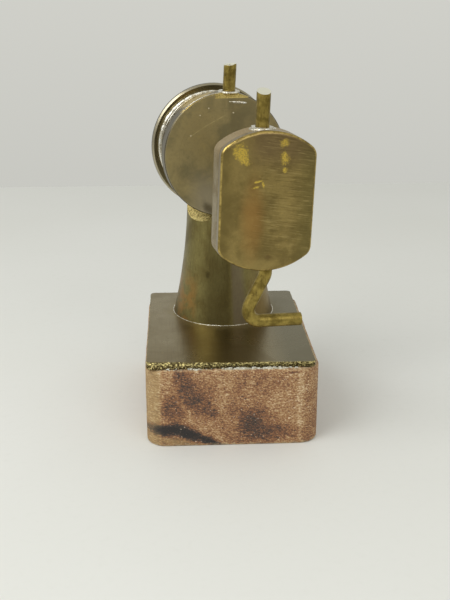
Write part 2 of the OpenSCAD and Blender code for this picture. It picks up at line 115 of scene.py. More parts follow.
class Net:
    """A material's node tree, with one short method for each kind of node."""

    def __init__(self, name):
        self.material = bpy.data.materials.new(name)
        self.material.use_nodes = True
        self.tree = self.material.node_tree
        self.tree.nodes.clear()
        self.out = self.tree.nodes.new("ShaderNodeOutputMaterial")
        self.shader = self.tree.nodes.new("ShaderNodeBsdfPrincipled")
        self.link(self.shader.outputs[0], self.out.inputs["Surface"])
        self.coords = self.tree.nodes.new("ShaderNodeTexCoord")
        self.at = self.vector("SCALE", self.coords.outputs["Object"], scale=1 / MM)
        self.normal = self.coords.outputs["Normal"]

    def link(self, a, b):
        self.tree.links.new(a, b)

    def put(self, socket, value):
        if isinstance(value, bpy.types.NodeSocket):
            self.link(value, socket)
        elif value is not None:
            socket.default_value = value

    def math(self, operation, a, b=None, c=None, clamp=False):
        node = self.tree.nodes.new("ShaderNodeMath")
        node.operation = operation
        node.use_clamp = clamp
        for socket, value in zip(node.inputs, (a, b, c)):
            self.put(socket, value)
        return node.outputs[0]

    def vector(self, operation, a, b=None, scale=None):
        node = self.tree.nodes.new("ShaderNodeVectorMath")
        node.operation = operation
        self.put(node.inputs[0], a)
        if b is not None:
            self.put(node.inputs[1], b)
        if scale is not None:
            self.put(node.inputs["Scale"], scale)
        return node.outputs["Value" if operation in ("DOT_PRODUCT", "LENGTH") else "Vector"]

    def parts(self, vector):
        node = self.tree.nodes.new("ShaderNodeSeparateXYZ")
        self.put(node.inputs[0], vector)
        return node.outputs[0], node.outputs[1], node.outputs[2]

    def join(self, x, y, z):
        node = self.tree.nodes.new("ShaderNodeCombineXYZ")
        for socket, value in zip(node.inputs, (x, y, z)):
            self.put(socket, value)
        return node.outputs[0]

    def remap(self, x, low, high, to_low=0.0, to_high=1.0):
        """A smooth step from one value to another as x goes from low to high."""
        node = self.tree.nodes.new("ShaderNodeMapRange")
        node.interpolation_type = "SMOOTHSTEP"
        for socket, value in zip(node.inputs, (x, low, high, to_low, to_high)):
            self.put(socket, value)
        return node.outputs[0]

    def noise(self, at, scale, detail=4.0, rough=0.6, distort=0.0):
        node = self.tree.nodes.new("ShaderNodeTexNoise")
        self.put(node.inputs["Vector"], at)
        for name, value in (
            ("Scale", scale),
            ("Detail", detail),
            ("Roughness", rough),
            ("Distortion", distort),
        ):
            node.inputs[name].default_value = value
        return node.outputs[0]

    def cells(self, at, scale):
        node = self.tree.nodes.new("ShaderNodeTexVoronoi")
        self.put(node.inputs["Vector"], at)
        node.inputs["Scale"].default_value = scale
        return node.outputs["Distance"]

    def mix(self, share, a, b):
        node = self.tree.nodes.new("ShaderNodeMix")
        node.data_type = "RGBA"
        self.put(node.inputs["Factor"], share)
        for socket, value in zip([s for s in node.inputs if s.type == "RGBA"], (a, b)):
            self.put(socket, value)
        return [s for s in node.outputs if s.type == "RGBA"][0]

    def times(self, *factors):
        """The product of two or more values."""
        product = factors[0]
        for factor in factors[1:]:
            product = self.math("MULTIPLY", product, factor)
        return product

    def minus(self, a, b):
        return self.math("SUBTRACT", a, b)

    def tint(self, colour, share, strength, shade):
        """Takes a colour toward a shade, by a share of at most the given strength."""
        return self.mix(self.times(share, strength), colour, shade)

    def blend(self, share, a, b):
        """A value taken from a toward b by a share."""
        return self.math("ADD", a, self.times(share, self.minus(b, a)))

    def frame(self, origin, x, y, z):
        """The point's coordinates along three axes from an origin."""
        away = self.vector("SUBTRACT", self.at, tuple(origin))
        return [self.vector("DOT_PRODUCT", away, tuple(axis)) for axis in (x, y, z)]

    def facing(self, axis):
        return self.vector("DOT_PRODUCT", self.normal, tuple(axis))

    def patch(self, u, v, centre, size, angle=0.0, ragged=0.5, grain=0.9, fade=(1.1, 0.8)):
        """A ragged patch round a place, 1 inside and 0 outside."""
        turn = math.radians(angle)
        du = self.minus(u, centre[0])
        dv = self.minus(v, centre[1])
        across = self.math(
            "ADD",
            self.times(du, math.cos(turn) / size[0]),
            self.times(dv, math.sin(turn) / size[0]),
        )
        along = self.minus(
            self.times(dv, math.cos(turn) / size[1]),
            self.times(du, math.sin(turn) / size[1]),
        )
        reach = self.vector("LENGTH", self.join(across, along, 0.0))
        if ragged:
            rough = self.noise(self.at, grain, 5.0, 0.7)
            shift = self.math("MULTIPLY_ADD", rough, 4 * ragged, -2 * ragged)
            reach = self.math("ADD", reach, shift)
        return self.remap(reach, *fade)

    def lines(self, direction, across, fine=7.0, along=0.25):
        """Fine streaks along a direction: noise squeezed across it."""
        third = Vector(direction).cross(Vector(across))
        u = self.vector("DOT_PRODUCT", self.at, tuple(direction))
        v = self.vector("DOT_PRODUCT", self.at, tuple(across))
        w = self.vector("DOT_PRODUCT", self.at, tuple(third))
        stretched = self.join(
            self.times(u, along),
            self.times(v, fine),
            self.times(w, fine),
        )
        return self.noise(stretched, 1.0, 3.0, 0.6)

    def cloud(self, u, v, centre, size, angle=0.0, wander=0.35, grain=0.35):
        """A soft patch round a place, fading slowly from 1 to 0."""
        return self.patch(u, v, centre, size, angle, wander, grain, (1.5, 0.2))

    def ramp(self, x, *stops):
        """A colour for each place along x; stops are (place, colour)."""
        node = self.tree.nodes.new("ShaderNodeValToRGB")
        points = node.color_ramp.elements
        while len(points) < len(stops):
            points.new(0.5)
        for point, (place, colour) in zip(points, stops):
            point.position, point.color = place, colour
        self.link(x, node.inputs[0])
        return node.outputs[0]

    def bump(self, height, distance, strength=1.0, under=None):
        node = self.tree.nodes.new("ShaderNodeBump")
        node.inputs["Strength"].default_value = strength
        node.inputs["Distance"].default_value = distance * MM
        self.put(node.inputs["Height"], height)
        if under is not None:
            self.link(under, node.inputs["Normal"])
        return node.outputs[0]

    def finish(self, colour, rough, normal, metallic=1.0):
        self.put(self.shader.inputs["Base Color"], colour)
        self.put(self.shader.inputs["Roughness"], rough)
        self.shader.inputs["Metallic"].default_value = metallic
        self.link(normal, self.shader.inputs["Normal"])
        return self.material


GOLD = rgb(205, 178, 92)


def tarnished(net, light, dark, cloud):
    """Old brass: clouded tarnish with a finer mottle. Gives the colour, clouds and mottle."""
    clouds = net.noise(net.at, cloud, 4.0, 0.6, 0.4)
    mottle = net.noise(net.at, 1.7, 6.0, 0.7)
    colour = net.mix(net.remap(clouds, 0.36, 0.66), light, dark)
    colour = net.mix(net.remap(mottle, 0.45, 0.75, 0.0, 0.35), colour, dark)
    colour = net.mix(net.remap(mottle, 0.25, 0.45, 0.25, 0.0), colour, GOLD)
    return colour, clouds, mottle


def plain_metal(name, light, dark, rough=0.3, fine=3.0, depth=0.012):
    """Machined or drawn metal: faint clouds, fine random scratches and soft pits."""
    net = Net(name)
    clouds = net.noise(net.at, 0.35, 4.0, 0.6)
    grain = net.noise(net.at, fine, 6.0, 0.7)
    colour = net.mix(net.remap(clouds, 0.35, 0.65), light, dark)
    colour = net.mix(net.remap(grain, 0.5, 0.8, 0.0, 0.5), colour, dark)
    roughness = net.remap(grain, 0.3, 0.75, rough * 0.8, rough * 1.35)
    return net.finish(colour, roughness, net.bump(grain, depth))


def face_material():
    """Hand-rubbed face plate: warm tarnish, level scratches, gold patches and a filed bevel."""
    net = Net("face_brass")
    u, v, _ = net.frame(HEAD_C, HEAD_RIGHT, HEAD_UP, BACK)
    front = net.remap(net.math("ABSOLUTE", net.facing(BACK)), 0.8, 0.95)
    side = net.remap(net.math("ABSOLUTE", net.facing(BACK)), 0.5, 0.3)
    bevel = net.math("SUBTRACT", net.minus(1.0, front), side, clamp=True)
    colour, clouds, mottle = tarnished(net, rgb(150, 131, 80), rgb(120, 104, 62), 0.2)
    tilt = math.radians(-8)
    level = HEAD_RIGHT * math.cos(tilt) + HEAD_UP * math.sin(tilt)
    cross = HEAD_UP * math.cos(tilt) - HEAD_RIGHT * math.sin(tilt)
    streak = net.lines(level, cross, 5.0, 0.35)
    where = net.times(net.remap(u, -3.5, 0.5), net.remap(v, -10.5, -6.0))
    # broad changes of tone over the face
    warm = net.cloud(u, v, (-2.6, -2.5), (2.0, 6.5), 0, 0.25, 0.25)
    colour = net.tint(colour, warm, 0.6, rgb(160, 120, 66))
    top = net.times(net.remap(v, 4.5, 9.5), net.remap(u, -5.0, -1.0))
    colour = net.tint(colour, top, 0.6, rgb(124, 104, 76))
    edge = net.remap(u, 3.6, 7.6)
    colour = net.tint(colour, edge, 0.5, rgb(108, 100, 58))
    left = net.remap(u, -5.6, -7.4)
    colour = net.tint(colour, left, 0.5, rgb(112, 98, 56))
    # level scratches, light and dark
    light_line = net.times(net.remap(streak, 0.56, 0.68), where)
    dark_line = net.times(net.remap(streak, 0.46, 0.34), where)
    colour = net.tint(colour, light_line, 0.4, rgb(186, 166, 110))
    colour = net.tint(colour, dark_line, 0.45, rgb(96, 82, 48))
    # gold patches where the tarnish is rubbed through
    gold = net.patch(u, v, (-4.75, 8.2), (1.1, 1.9), 30, 0.6, 1.1, (1.2, 0.7))
    for place, size in (
        ((2.45, 10.2), (0.75, 0.6)),
        ((2.6, 7.6), (0.7, 0.95)),
        ((2.7, 5.6), (0.45, 0.4)),
        ((-1.7, 3.7), (0.9, 0.16)),
        ((-2.1, 2.7), (0.6, 0.2)),
        ((-0.9, 3.1), (0.25, 0.6)),
    ):
        gold = net.math("MAXIMUM", gold, net.patch(u, v, place, size, 12, 0.7, 1.9, (1.4, 0.4)))
    speck = net.remap(net.noise(net.at, 3.6, 3.0, 0.7), 0.62, 0.45)
    gold = net.times(gold, net.math("MULTIPLY_ADD", speck, 0.65, 0.35))
    colour = net.mix(gold, colour, rgb(216, 186, 84))
    stain = net.cloud(u, v, (0.5, -9.6), (0.6, 0.5), 0, 0.5, 1.2)
    colour = net.tint(colour, stain, 0.5, rgb(96, 76, 48))
    worn = net.remap(net.noise(net.at, 0.7, 4.0, 0.7), 0.4, 0.62)
    bevel_colour = net.mix(worn, rgb(188, 164, 96), rgb(128, 110, 62))
    colour = net.mix(bevel, colour, bevel_colour)
    # painted reflection: the face plate's sides greyed as seen at a grazing angle
    colour = net.mix(side, colour, rgb(150, 136, 106))
    roughness = net.remap(clouds, 0.3, 0.7, 0.3, 0.42)
    roughness = net.blend(gold, roughness, 0.3)
    roughness = net.blend(bevel, roughness, 0.3)
    normal = net.bump(streak, 0.02, 0.6)
    normal = net.bump(mottle, 0.012, 0.8, normal)
    return net.finish(colour, roughness, normal)


def head_material():
    """The head's sides and back: satin brass greyed pinkish as a painted grazing reflection, gold where it was
    filed.
    """
    net = Net("head_brass")
    u, v, _ = net.frame(HEAD_C, HEAD_RIGHT, HEAD_UP, BACK)
    colour, clouds, mottle = tarnished(net, rgb(158, 144, 112), rgb(132, 116, 82), 0.25)
    streak = net.lines(BACK, HEAD_UP, 6.0, 0.5)
    high = net.remap(v, 6.0, 10.0)
    colour = net.tint(colour, high, 0.6, rgb(190, 166, 124))
    colour = net.mix(net.remap(streak, 0.5, 0.75, 0.0, 0.5), colour, rgb(190, 172, 132))
    colour = net.mix(net.remap(u, 1.0, 5.0, 0.0, 0.6), colour, rgb(118, 102, 68))
    roughness = net.remap(clouds, 0.3, 0.7, 0.42, 0.54)
    normal = net.bump(streak, 0.015, 0.6)
    normal = net.bump(mottle, 0.012, 0.8, normal)
    return net.finish(colour, roughness, normal)


def drum_material():
    """Turned drum: rings on the face with painted reflections on it, a painted highlight round its rim, a gold
    filed flat and a barrel darkened as a painted reflection.
    """
    net = Net("drum_brass")
    u, v, y = net.frame(HUB, RIGHT, UP, BACK)
    radius = net.vector("LENGTH", net.join(u, v, 0.0))
    front = net.remap(net.times(net.facing(BACK), -1.0), 0.8, 0.95)
    colour, clouds, mottle = tarnished(net, rgb(166, 150, 104), rgb(128, 118, 84), 0.15)
    # circular turning marks
    rings = net.noise(net.join(net.times(radius, 3.2), 0.0, 0.0), 1.0, 5.0, 0.7)
    broken = net.noise(net.at, 0.5, 3.0, 0.5)
    light_ring = net.times(net.remap(rings, 0.55, 0.7), net.remap(broken, 0.4, 0.6))
    dark_ring = net.times(net.remap(rings, 0.46, 0.34), net.remap(broken, 0.65, 0.4))
    colour = net.tint(colour, light_ring, 0.3, rgb(196, 180, 138))
    colour = net.tint(colour, dark_ring, 0.35, rgb(108, 96, 62))
    # painted reflections: greyer below, darker to the right
    grey = net.times(net.remap(v, -1.0, -8.0), net.remap(u, -9.0, -4.0))
    colour = net.tint(colour, grey, 0.6, rgb(170, 160, 138))
    shade = net.times(net.remap(u, 0.2, 1.6), net.remap(v, 1.0, 5.0))
    colour = net.tint(colour, shade, 0.5, rgb(122, 110, 76))
    # one long scratch over the upper left of the face
    bend = net.times(net.math("ADD", u, 3.5), net.math("ADD", u, 3.5), -0.018)
    line = net.minus(v, net.math("ADD", net.math("MULTIPLY_ADD", u, 0.557, 8.05), bend))
    scratch = net.remap(net.math("ABSOLUTE", line), 0.16, 0.05)
    reach = net.times(net.remap(u, -7.6, -6.6), net.remap(u, 0.6, -0.6))
    faint = net.remap(net.noise(net.at, 0.9, 3.0, 0.6), 0.35, 0.6, 0.25, 1.0)
    scratch = net.times(scratch, reach, faint)
    colour = net.tint(colour, scratch, 0.4, rgb(216, 198, 142))
    # painted reflection: a dark fan-shaped patch at the bottom of the face
    painted_reflection_wedge = net.cloud(u, v, (-3.4, -10.6), (0.9, 1.7), 40, 0.3, 0.9)
    colour = net.tint(colour, painted_reflection_wedge, 0.75, rgb(78, 68, 44))
    for place in ((-3.3, 9.3), (-5.0, 8.0), (1.6, 8.3), (-6.9, 4.1)):
        nick = net.patch(u, v, place, (0.14, 0.1), 0, 0.3, 3.0)
        colour = net.mix(net.times(nick, front), colour, rgb(240, 230, 200))
    # painted highlight: a pale line round the rim of the face
    rim = net.remap(radius, DISC_R - 0.3, DISC_R - 0.12)
    rim = net.times(rim, net.remap(y, DISC_FRONT + 0.3, DISC_FRONT + 0.1))
    colour = net.tint(colour, rim, 0.6, rgb(214, 206, 184))
    # the edge of the disc and the barrel, darkened as a painted reflection
    side = net.minus(1.0, front)
    colour = net.tint(colour, side, 0.85, rgb(60, 52, 28))
    gold_rim = net.patch(u, v, (-5.2, 10.6), (3.4, 2.0), 25, 0.6, 0.8)
    colour = net.tint(colour, net.times(gold_rim, side), 0.8, rgb(196, 170, 92))
    # the filed flat on the upper front edge
    tilt = math.radians(48)
    flat_normal = UP * math.cos(tilt) - BACK * math.sin(tilt)
    filed = net.remap(net.facing(flat_normal), 0.97, 0.995)
    file_marks = net.lines(BACK, RIGHT, 4.0, 0.4)
    filed_colour = net.mix(net.remap(file_marks, 0.4, 0.65), rgb(206, 184, 112), rgb(160, 138, 76))
    colour = net.mix(filed, colour, filed_colour)
    roughness = net.remap(clouds, 0.3, 0.7, 0.44, 0.56)
    roughness = net.blend(side, roughness, 0.34)
    normal = net.bump(rings, 0.02, 0.5)
    normal = net.bump(mottle, 0.012, 0.8, normal)
    return net.finish(colour, roughness, normal, metallic=0.8)


def column_material():
    """Turned column: fine upright streaks of tarnish, broad upright bands of painted reflection, orange low down,
    and a gold filed shoulder.
    """
    net = Net("column_brass")
    x, y, z = net.parts(net.vector("SUBTRACT", net.at, tuple(COLUMN)))
    flat = net.vector("NORMALIZE", net.join(x, y, 0.0))
    nx, ny, _ = net.parts(flat)
    forward = net.remap(ny, 0.25, -0.1)
    colour, clouds, mottle = tarnished(net, rgb(134, 124, 78), rgb(112, 100, 60), 0.16)
    streak = net.lines(UP, RIGHT, 4.0, 0.12)
    colour = net.mix(net.remap(streak, 0.48, 0.72, 0.0, 0.5), colour, rgb(92, 82, 50))
    # painted reflection: a dark upright stripe down the front middle, strongest low down
    dark = net.times(net.remap(nx, -0.62, -0.3), net.remap(nx, 0.16, 0.04))
    dark = net.times(dark, forward, net.remap(z, 24.0, 8.0, 0.45, 1.0))
    colour = net.tint(colour, dark, 0.6, rgb(82, 72, 42))
    # painted reflection: a pale greyish upright stripe right of the middle, on the front
    painted_reflection_band = net.times(net.remap(nx, 0.1, 0.2), net.remap(nx, 0.52, 0.34))
    colour = net.tint(colour, net.times(painted_reflection_band, forward), 0.7, rgb(124, 112, 92))
    blush = net.times(net.remap(nx, 0.45, 0.62), net.remap(z, 14.0, 3.0))
    colour = net.tint(colour, blush, 0.5, rgb(140, 112, 72))
    low = net.times(net.remap(nx, -0.55, -0.75), net.remap(z, 13.0, 4.0))
    patchy = net.remap(net.noise(net.at, 0.35, 4.0, 0.6), 0.4, 0.58)
    colour = net.tint(colour, net.times(low, patchy), 0.5, rgb(172, 124, 66))
    speck = net.cloud(nx, z, (-0.42, 10.2), (0.06, 0.7), 0, 0.5, 1.0)
    colour = net.tint(colour, net.times(speck, forward), 0.6, rgb(62, 54, 32))
    # filed shoulder
    azimuth, tilt = math.radians(-137), math.radians(42.3)
    level = Vector((math.cos(azimuth), math.sin(azimuth), 0))
    away = level * math.sin(tilt) + UP * math.cos(tilt)
    filed = net.remap(net.facing(away), 0.985, 0.997)
    rough_file = net.noise(net.at, 2.6, 5.0, 0.75)
    torn = net.remap(rough_file, 0.42, 0.62)
    colour = net.mix(filed, colour, net.mix(torn, rgb(248, 230, 160), rgb(160, 136, 74)))
    roughness = net.remap(clouds, 0.3, 0.7, 0.34, 0.46)
    roughness = net.blend(filed, roughness, 0.42)
    height = net.math("MULTIPLY_ADD", net.times(rough_file, filed), 6.0, mottle)
    normal = net.bump(streak, 0.02, 0.6)
    normal = net.bump(height, 0.012, 0.9, normal)
    return net.finish(colour, roughness, normal)


def plate_material():
    """Bed plate: smooth sheet with a faint bloom on top, and a bright, torn edge darkened toward its foot by
    painted shade.
    """
    net = Net("plate_brass")
    x, y, z = net.parts(net.at)
    colour, clouds, mottle = tarnished(net, rgb(150, 138, 108), rgb(134, 120, 88), 0.1)
    streak = net.lines((0, 1, 0), (1, 0, 0), 3.5, 0.15)
    colour = net.mix(net.remap(streak, 0.5, 0.75, 0.0, 0.35), colour, rgb(112, 100, 70))
    middle, reach = (COLUMN.x + 0.5, COLUMN.y - 1.2), FOOT_R + 1.6
    dusty = net.patch(x, y, middle, (reach, reach), 0, 0.12, 1.5)
    colour = net.tint(colour, dusty, 0.6, rgb(166, 152, 112))
    top = net.remap(net.facing(UP), 0.7, 0.95)
    edge = net.minus(1.0, top)
    torn = net.noise(net.vector("MULTIPLY", net.at, (2.2, 2.2, 4.0)), 1.0, 6.0, 0.75)
    # painted shade: the torn edge darkens toward its foot, over the wood
    painted_shade_low_edge = net.remap(z, plate_high.z - 0.25, plate_low.z + 0.3)
    torn_share = net.math("ADD", net.remap(torn, 0.36, 0.56), net.times(painted_shade_low_edge, 0.45), clamp=True)
    edge_colour = net.mix(torn_share, rgb(236, 220, 150), rgb(66, 56, 34))
    colour = net.mix(edge, colour, edge_colour)
    lip = net.times(net.remap(y, plate_low.y + 1.0, plate_low.y + 0.25), top)
    nick = net.remap(net.noise(net.at, 2.4, 4.0, 0.7), 0.46, 0.6)
    colour = net.tint(colour, net.times(lip, nick), 0.7, rgb(206, 190, 120))
    roughness = net.remap(clouds, 0.3, 0.7, 0.26, 0.32)
    roughness = net.blend(dusty, roughness, 0.45)
    right_side = net.remap(x, 5.0, 12.0)
    colour = net.tint(colour, net.times(right_side, top), 0.85, rgb(112, 106, 82))
    roughness = net.blend(edge, roughness, 0.42)
    height = net.math("MULTIPLY_ADD", net.times(torn, edge), 5.0, mottle)
    normal = net.bump(streak, 0.006, 0.5)
    normal = net.bump(height, 0.008, 0.8, normal)
    return net.finish(colour, roughness, normal)


def wheel_material():
    """Turned wheel: faint rings, a rim painted as a dark reflection, a chamfer painted as a pale reflection, and a
    front face darkened by painted shade.
    """
    net = Net("wheel_brass")
    u, v, _ = net.frame(HUB, RIGHT, UP, BACK)
    radius = net.vector("LENGTH", net.join(u, v, 0.0))
    colour, clouds, mottle = tarnished(net, rgb(142, 130, 96), rgb(112, 100, 68), 0.2)
    rings = net.noise(net.join(net.times(radius, 2.6), 0.0, 0.0), 1.0, 5.0, 0.7)
    colour = net.mix(net.remap(rings, 0.5, 0.72, 0.0, 0.4), colour, rgb(84, 74, 48))
    flat = net.math("ABSOLUTE", net.facing(BACK))
    # painted reflection: the rim darkened to grey
    rim = net.times(net.remap(flat, 0.85, 0.6), net.remap(radius, WHEEL_R - 0.8, WHEEL_R - 0.3))
    colour = net.tint(colour, rim, 0.75, rgb(66, 64, 56))
    # painted reflection: the chamfer paled
    chamfer = net.times(net.remap(flat, 0.5, 0.65), net.remap(flat, 0.85, 0.75))
    colour = net.tint(colour, chamfer, 0.8, rgb(176, 168, 144))
    # painted shade: the front face darkened
    front = net.remap(net.times(net.facing(BACK), -1.0), 0.8, 0.95)
    colour = net.tint(colour, front, 0.6, rgb(122, 112, 80))
    roughness = net.remap(clouds, 0.3, 0.7, 0.26, 0.38)
    normal = net.bump(rings, 0.02, 0.5)
    normal = net.bump(mottle, 0.012, 0.8, normal)
    return net.finish(colour, roughness, normal)


def rod_material():
    """Drawn rod: yellow brass with lengthwise streaks and dark pits."""
    net = Net("rod_brass")
    colour, clouds, mottle = tarnished(net, rgb(164, 144, 76), rgb(116, 100, 48), 0.5)
    streak = net.lines(HEAD_UP, HEAD_RIGHT, 4.5, 0.5)
    colour = net.mix(net.remap(streak, 0.52, 0.7, 0.0, 0.6), colour, rgb(86, 72, 36))
    pits = net.remap(net.noise(net.at, 3.2, 4.0, 0.7), 0.62, 0.72)
    colour = net.tint(colour, pits, 0.7, rgb(70, 58, 32))
    # painted highlight: the sawn top of a pin painted near white
    cut = net.remap(net.facing(HEAD_UP), 0.86, 0.95)
    cut = net.times(cut, net.remap(net.parts(net.at)[2], plate_high.z + 20, plate_high.z + 30))
    colour = net.mix(cut, colour, rgb(250, 250, 236))
    roughness = net.remap(clouds, 0.3, 0.7, 0.38, 0.5)
    normal = net.bump(streak, 0.03, 0.6)
    normal = net.bump(mottle, 0.02, 0.8, normal)
    return net.finish(colour, roughness, normal)


def solder_material():
    """Soft solder: bright and lumpy, with a little flux left in the hollows."""
    net = Net("solder")
    lumps = net.noise(net.at, 1.4, 5.0, 0.65, 0.5)
    fine = net.noise(net.at, 6.0, 4.0, 0.7)
    colour = net.mix(net.remap(lumps, 0.4, 0.62), rgb(240, 238, 228), rgb(196, 188, 166))
    colour = net.mix(net.remap(fine, 0.6, 0.75, 0.0, 0.6), colour, rgb(120, 108, 80))
    roughness = net.remap(fine, 0.3, 0.7, 0.2, 0.36)
    normal = net.bump(lumps, 0.12, 0.9)
    normal = net.bump(fine, 0.02, 0.8, normal)
    return net.finish(colour, roughness, normal)


def wood_material():
    """Reddish hardwood: level fibres, pale flecks, dark scorched stains, lighter corners with painted highlights,
    and worn edges with a painted highlight.
    """
    net = Net("wood")
    x, y, z = net.parts(net.at)
    # fibres run level round the block
    slope = net.math("MULTIPLY_ADD", x, 0.1, z)
    around = net.math("ADD", x, y)
    fibre_at = net.join(
        net.times(around, 0.9),
        net.times(slope, 3.4),
        net.times(net.minus(x, y), 0.4),
    )
    fibre = net.noise(fibre_at, 1.0, 6.0, 0.8, 0.5)
    fleck_at = net.join(
        net.times(around, 2.6), net.times(slope, 4.4), net.minus(x, y)
    )
    fleck = net.noise(fleck_at, 1.0, 4.0, 0.7)
    broad = net.noise(net.at, 0.13, 4.0, 0.6, 0.6)
    # stains: placed ones on the front, free ones round the other sides
    stain = net.cloud(x, z, (-9.0, 12.8), (1.9, 3.6), 12, 0.3, 0.4)
    for place, size, angle in (
        ((-7.4, 9.8), (3.6, 2.6), -40),
        ((-4.9, 7.6), (2.6, 1.6), -30),
        ((-11.4, 7.8), (2.6, 3.6), 0),
        ((3.6, 4.4), (2.6, 2.8), 0),
        ((6.4, 2.2), (4.8, 2.0), 4),
        ((11.5, 15.0), (1.7, 0.22), 5),
    ):
        stain = net.math("MAXIMUM", stain, net.cloud(x, z, place, size, angle, 0.3, 0.5))
    other = net.noise(net.vector("MULTIPLY", net.at, (0.16, 0.16, 0.3)), 1.0, 4.0, 0.65, 0.7)
    behind = net.remap(y, -17.0, -12.0)
    stain = net.blend(behind, stain, net.remap(other, 0.5, 0.75))
    scorch = net.cloud(x, z, (-12.6, 3.5), (4.6, 1.2), 0, 0.2, 0.6)
    for place, size, angle in (((-8.4, 2.6), (3.4, 1.2), -20), ((-5.2, 1.3), (3.2, 0.8), -22)):
        scorch = net.math("MAXIMUM", scorch, net.cloud(x, z, place, size, angle, 0.2, 0.6))
    scorch = net.times(scorch, net.minus(1.0, behind))
    red = net.times(net.remap(broad, 0.42, 0.62), 0.05)
    tone = net.math("MULTIPLY_ADD", fleck, 0.55, net.times(fibre, 0.45))
    tone = net.minus(tone, net.math("MULTIPLY_ADD", stain, 0.09, red))
    tone = net.minus(tone, net.times(scorch, 0.24))
    # painted highlights: pale upright bands where the corners begin to round
    for middle, width in ((-13.9, 0.35), (12.85, 1.0)):
        line = net.remap(net.math("ABSOLUTE", net.minus(x, middle)), width, 0.2 * width)
        tone = net.math("MULTIPLY_ADD", line, 0.035, tone)
    colour = net.ramp(
        tone,
        (0.28, rgb(48, 44, 42)),
        (0.37, rgb(84, 70, 60)),
        (0.43, rgb(134, 88, 60)),
        (0.48, rgb(164, 120, 80)),
        (0.54, rgb(194, 160, 114)),
        (0.62, rgb(236, 218, 186)),
    )
    low_left = net.cloud(x, z, (-11.0, 1.0), (3.4, 0.8), -8, 0.3, 0.6)
    gold_left = net.math("MAXIMUM", net.remap(x, -13.2, -14.4), low_left)
    gold_left = net.times(gold_left, net.minus(1.0, net.math("MAXIMUM", scorch, behind)))
    colour = net.tint(colour, gold_left, 0.45, rgb(176, 154, 104))
    # pale flecks of raised fibre, dark pores, and pale edges at top and bottom, worn wood with a painted highlight
    pale = net.remap(net.noise(net.at, 2.6, 2.0, 0.5), 0.68, 0.74)
    colour = net.tint(colour, pale, 0.8, rgb(228, 210, 186))
    pore = net.remap(net.cells(fleck_at, 1.3), 0.2, 0.08)
    colour = net.tint(colour, pore, 0.35, rgb(74, 52, 40))
    rim = net.remap(z, 0.7, 0.15)
    rim = net.math("MAXIMUM", rim, net.remap(z, block_high.z - 0.5, block_high.z - 0.1))
    ragged = net.remap(net.noise(net.at, 1.3, 4.0, 0.7), 0.4, 0.6)
    colour = net.tint(colour, net.times(rim, ragged), 0.75, rgb(196, 180, 144))
    roughness = net.remap(fibre, 0.3, 0.7, 0.62, 0.85)
    height = net.minus(net.math("ADD", fibre, fleck), net.times(pore, 0.6))
    normal = net.bump(height, 0.14, 0.9)
    return net.finish(colour, roughness, normal, metallic=0.0)


def floor_material():
    """Plain pale paper."""
    net = Net("floor_paper")
    fine = net.noise(net.at, 0.6, 5.0, 0.6)
    broad = net.noise(net.at, 0.008, 3.0, 0.5)
    colour = net.mix(net.remap(broad, 0.35, 0.65), rgb(228, 229, 226), rgb(225, 226, 222))
    colour = net.mix(net.remap(fine, 0.5, 0.8, 0.0, 0.3), colour, rgb(218, 219, 214))
    return net.finish(colour, 0.7, net.bump(fine, 0.02, 0.3), metallic=0.0)


WOOD = wood_material()
SOLDER = solder_material()
ROD = rod_material()
PLATE = plate_material()
STEEL = plain_metal("steel", rgb(176, 176, 172), rgb(140, 140, 136), 0.28)
finishes = {
    "wood": WOOD,
    "plate_brass": PLATE,
    "column_brass": column_material(),
    "drum_brass": drum_material(),
    "wheel_brass": wheel_material(),
    "head_brass": head_material(),
    "face_brass": face_material(),
    "tube_brass": plain_metal("tube_brass", rgb(170, 154, 100), rgb(128, 114, 70), 0.3),
    "rod_brass": ROD,
    "plain_brass": plain_metal("plain_brass", rgb(190, 170, 108), rgb(158, 138, 84), 0.26),
    "tinned_brass": plain_metal(
        "tinned_brass", rgb(236, 234, 224), rgb(196, 188, 168), 0.22, 2.0, depth=0.03
    ),
    "bronze": plain_metal("bronze", rgb(176, 134, 88), rgb(140, 102, 62), 0.3),
    "steel": STEEL,
}
for part in frame["record"]["subparts"]:
    piece = nodes[part["node"]]
    piece.data.materials.clear()
    piece.data.materials.append(finishes[part["material_slot"]])


# ---- mesh helpers ----


def wobble(point, size, octaves=4):
    """Smooth noise from -1 to 1 with features of about the given size."""
    return noise.fractal(point / size, 1.0, 2.0, octaves)


def add(name, bm, material, body, stands_for=(), sharp=40):
    bmesh.ops.recalc_face_normals(bm, faces=bm.faces)
    mesh = bpy.data.meshes.new(name)
    bm.to_mesh(mesh)
    bm.free()
    mesh.materials.append(material)
    mesh.polygons.foreach_set("use_smooth", [True] * len(mesh.polygons))
    mesh.set_sharp_from_angle(angle=math.radians(sharp))
    piece = bpy.data.objects.new(name, mesh)
    bpy.context.scene.collection.objects.link(piece)
    if body is None:
        return piece
    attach(piece, body)
    if stands_for:
        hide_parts(*stands_for)
    return piece


def loft(rings, wrap=False):
    """Joins closed rings of equal count, given in mm, into one skin."""
    bm = bmesh.new()
    rows = [[bm.verts.new(p * MM) for p in ring] for ring in rings]
    count = len(rows[0])
    pairs = list(zip(rows, rows[1:])) + ([(rows[-1], rows[0])] if wrap else [])
    for low, high in pairs:
        for i in range(count):
            k = (i + 1) % count
            bm.faces.new((low[i], low[k], high[k], high[i]))
    if not wrap:
        bm.faces.new(list(reversed(rows[0])))
        bm.faces.new(rows[-1])
    return bm


